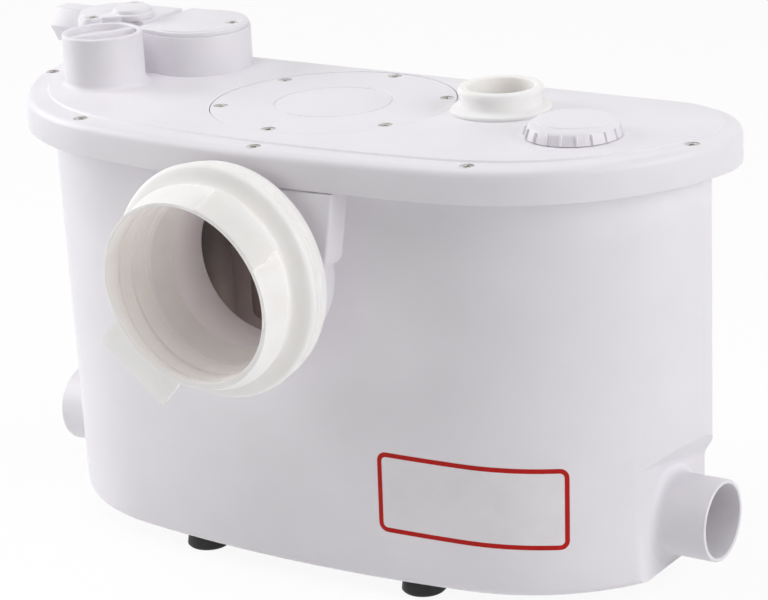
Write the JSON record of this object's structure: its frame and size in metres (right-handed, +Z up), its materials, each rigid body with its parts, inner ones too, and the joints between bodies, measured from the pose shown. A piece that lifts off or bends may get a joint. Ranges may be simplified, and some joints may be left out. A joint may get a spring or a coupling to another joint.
{
  "type": "macerator toilet pump",
  "caption": "D-shaped macerator tank with a screwed lid, a pan sleeve, side spigots, a sealed motor with cutter and impeller, and a flap-valve outlet.",
  "frame": {"origin": "on the floor, midway between the two side spigots and under their common axis", "axes": "+Z up, -Y out of the front towards the toilet pan, +X to the side of the screw cap"},
  "size_m": [0.4001, 0.2084, 0.2541],
  "materials": {
    "white_plastic": "smooth moulded",
    "soft_rubber": "soft moulded",
    "black_rubber": "matt",
    "screw_steel": "dull",
    "steel": "machined",
    "copper": "lacquered winding",
    "grinder_steel": "pressed",
    "grey_plastic": "moulded",
    "dark_plastic": "moulded",
    "amber_plastic": "moulded",
    "filter": "open foam"
  },
  "bodies": {
    "housing": {"tank": "white_plastic", "inlet_stub": "white_plastic", "left_spigot": "white_plastic", "right_spigot": "white_plastic", "feet_set": "black_rubber", "foot_screws": "screw_steel", "lid": "white_plastic", "lid_gasket": "black_rubber", "lid_screws": "screw_steel", "access_cover": "white_plastic", "access_seal": "black_rubber", "access_screws": "screw_steel", "motor_can": "steel", "upper_bearing": "steel", "lower_bearing": "steel", "shaft_seal": "black_rubber", "stator": "steel", "windings": "copper", "grinding_basket": "grinder_steel", "pump_casing": "grey_plastic", "discharge_pipe": "white_plastic", "discharge_elbow": "black_rubber", "riser_pipe": "white_plastic", "valve_housing": "white_plastic", "flap_pin": "steel", "valve_plate": "white_plastic", "plate_screws": "screw_steel", "outlet_nipple": "white_plastic", "control_box": "white_plastic", "box_cover": "white_plastic", "box_screws": "screw_steel", "air_bell": "grey_plastic", "pressure_switch": "dark_plastic", "microswitch": "dark_plastic", "capacitor": "grey_plastic", "terminal_block": "grey_plastic", "cable_gland": "dark_plastic", "toilet_sleeve": "soft_rubber", "top_sleeve": "soft_rubber", "vent_tube": "white_plastic", "vent_filter": "filter"},
    "rotating_set": {"rotor": "steel", "shaft": "steel", "cutter_blade": "steel", "impeller": "dark_plastic"},
    "flap": {"flap": "black_rubber"},
    "plunger": {"plunger": "amber_plastic"},
    "cap_washer": {"cap_washer": "black_rubber"},
    "screw_cap": {"screw_cap": "white_plastic"},
    "vent_plug": {"vent_plug": "white_plastic"}
  },
  "joints": [
    {"name": "motor_spin", "type": "hinge", "parent": "housing", "child": "rotating_set", "pos_m": [-0.009, -0.013, 0.1], "axis": [0, 0, 1], "continuous": true},
    {"name": "flap_swing", "type": "hinge", "parent": "housing", "child": "flap", "pos_m": [-0.151, 0.0369, 0.2302], "axis": [-1, 0, 0], "range_deg": [0, 50]},
    {"name": "plunger_press", "type": "slide", "parent": "housing", "child": "plunger", "axis": [0, 0, 1], "range_m": [0, 0.002], "stiffness_N_per_m": 60},
    {"name": "cap_lift", "type": "slide", "parent": "housing", "child": "cap_washer", "axis": [0, 0, 1], "range_m": [0, 0.005]},
    {"name": "cap_turn", "type": "hinge", "parent": "cap_washer", "child": "screw_cap", "pos_m": [0.131, -0.023, 0.23], "axis": [0, 0, 1], "range_deg": [0, 450]},
    {"name": "vent_plug_turn", "type": "hinge", "parent": "housing", "child": "vent_plug", "pos_m": [-0.1415, -0.024, 0.245], "axis": [0, 0, 1], "range_deg": [0, 90]}
  ],
  "couplings": [
    {"joint": "cap_lift", "follows": "cap_turn", "m_per_rad": 0.00063662}
  ]
}
